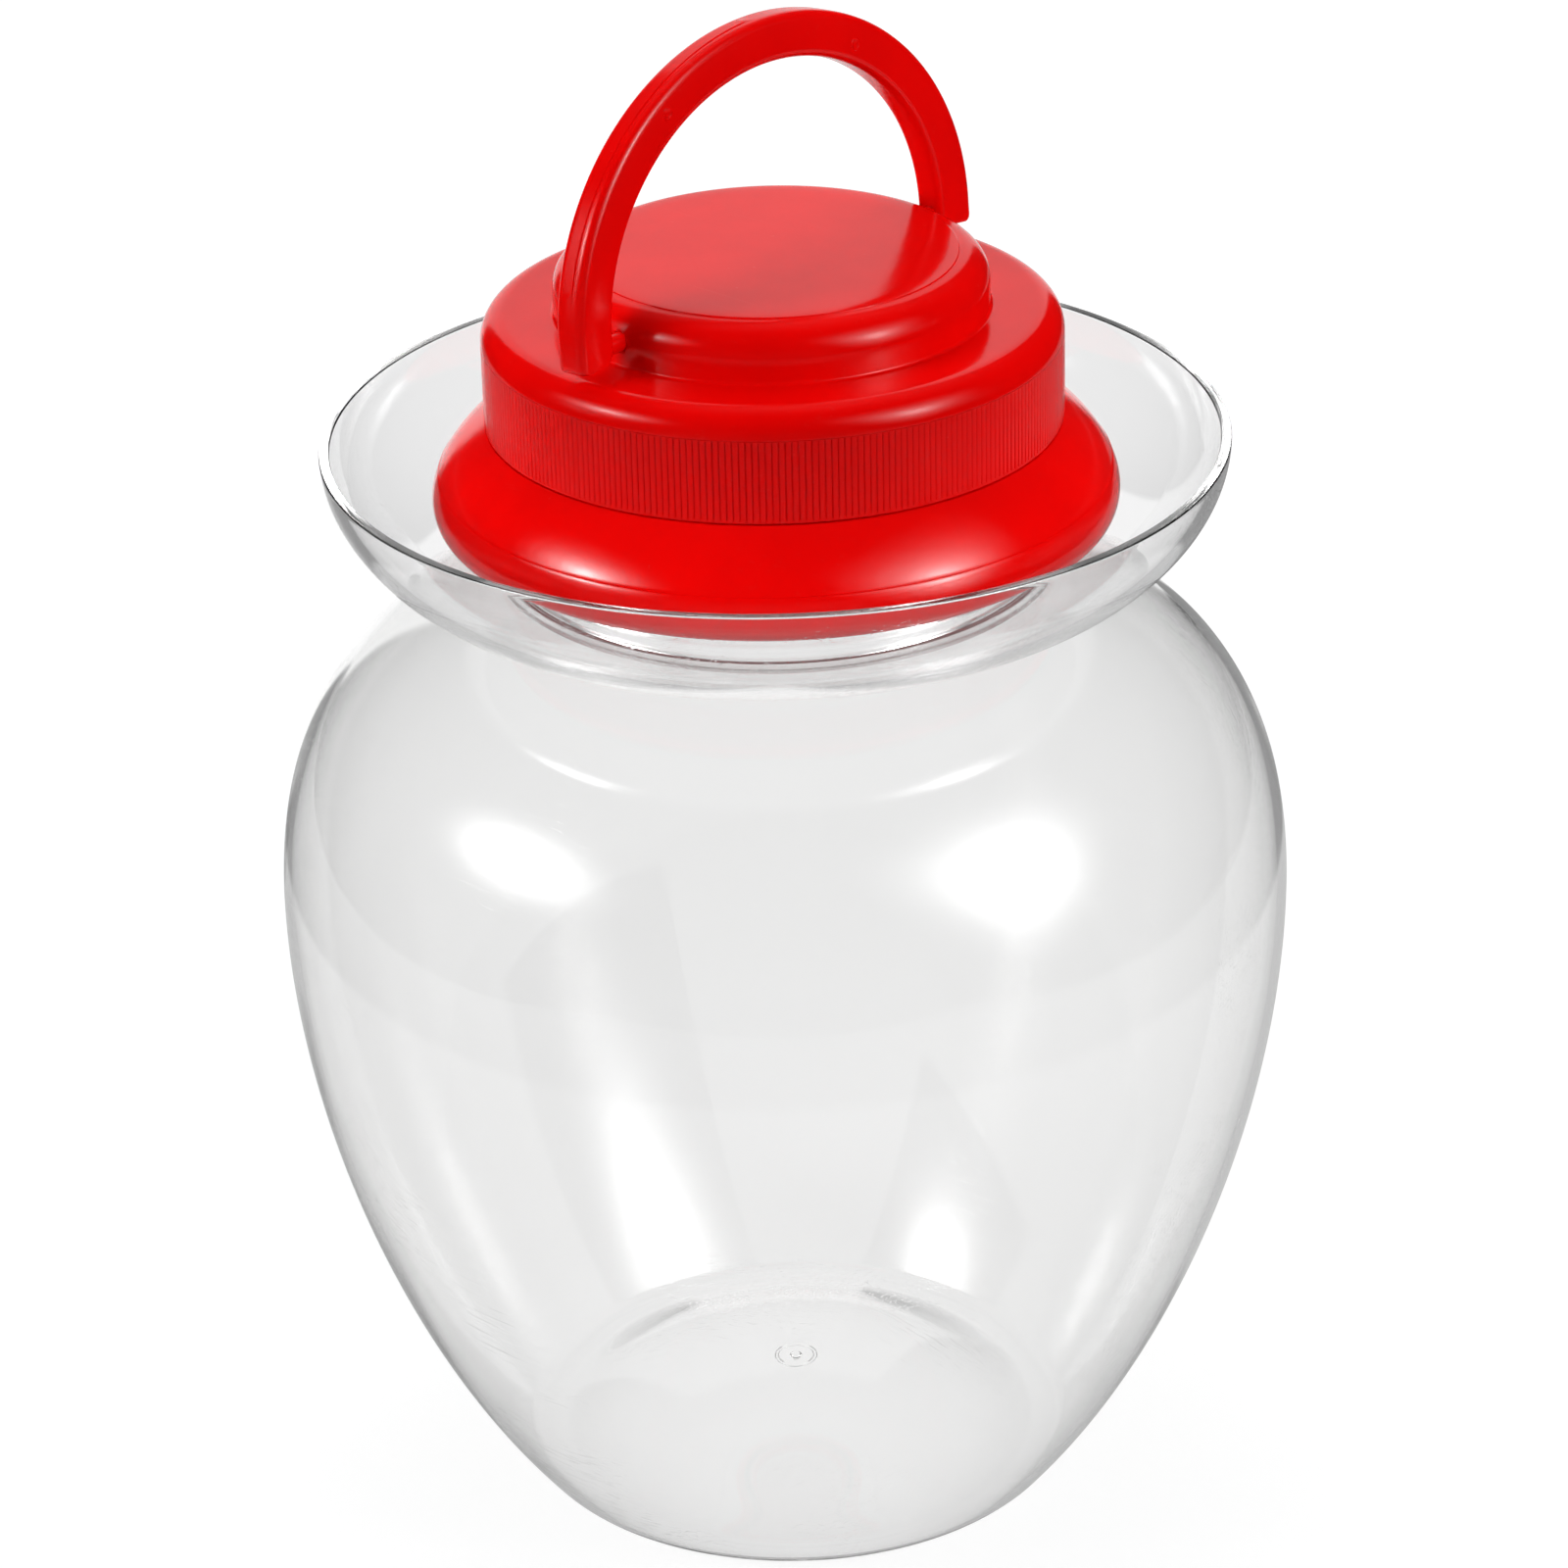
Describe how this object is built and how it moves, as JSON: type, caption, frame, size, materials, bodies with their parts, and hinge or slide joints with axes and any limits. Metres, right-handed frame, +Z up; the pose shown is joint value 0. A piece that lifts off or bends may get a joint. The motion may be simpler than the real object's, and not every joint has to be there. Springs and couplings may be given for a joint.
{
  "type": "fermentation jar",
  "caption": "Clear pot-bellied fermentation jar with a water-seal moat round its neck, closed by a red bell and a ribbed screw cap with a fold-down carry handle.",
  "frame": {"origin": "centre of the standing ring, on the surface that the jar stands on", "axes": "+Z up along the jar's axis, X along the handle's pivots, -Y towards the front"},
  "size_m": [0.2116, 0.2116, 0.3229],
  "materials": {
    "clear_jar": "clear polished PET",
    "silicone": "clear silicone",
    "clear_dish": "clear polished plastic",
    "red_bell": "glossy red plastic",
    "foam": "white foam",
    "red_cap": "glossy red plastic",
    "red_handle": "glossy red plastic"
  },
  "bodies": {
    "jar": {"jar_body": "clear_jar", "moat_gasket": "silicone", "moat_dish": "clear_dish"},
    "lid": {"seal_bell": "red_bell"},
    "liner": {"cap_liner": "foam"},
    "cap": {"screw_cap": "red_cap"},
    "handle": {"carry_handle": "red_handle"}
  },
  "joints": [
    {"name": "lid_lift", "type": "slide", "parent": "jar", "child": "lid", "axis": [0, 0, 1], "range_m": [0, 0.09]},
    {"name": "cap_rise", "type": "slide", "parent": "lid", "child": "liner", "axis": [0, 0, 1], "range_m": [0, 0.012]},
    {"name": "cap_turn", "type": "hinge", "parent": "liner", "child": "cap", "pos_m": [0, 0, 0.25], "axis": [0, 0, 1], "range_deg": [0, 720]},
    {"name": "handle_fold", "type": "hinge", "parent": "cap", "child": "handle", "pos_m": [0, 0, 0.2687], "axis": [1, 0, 0], "range_deg": [-86, 93]}
  ],
  "couplings": [
    {"joint": "cap_rise", "follows": "cap_turn", "m_per_rad": 0.000954}
  ]
}
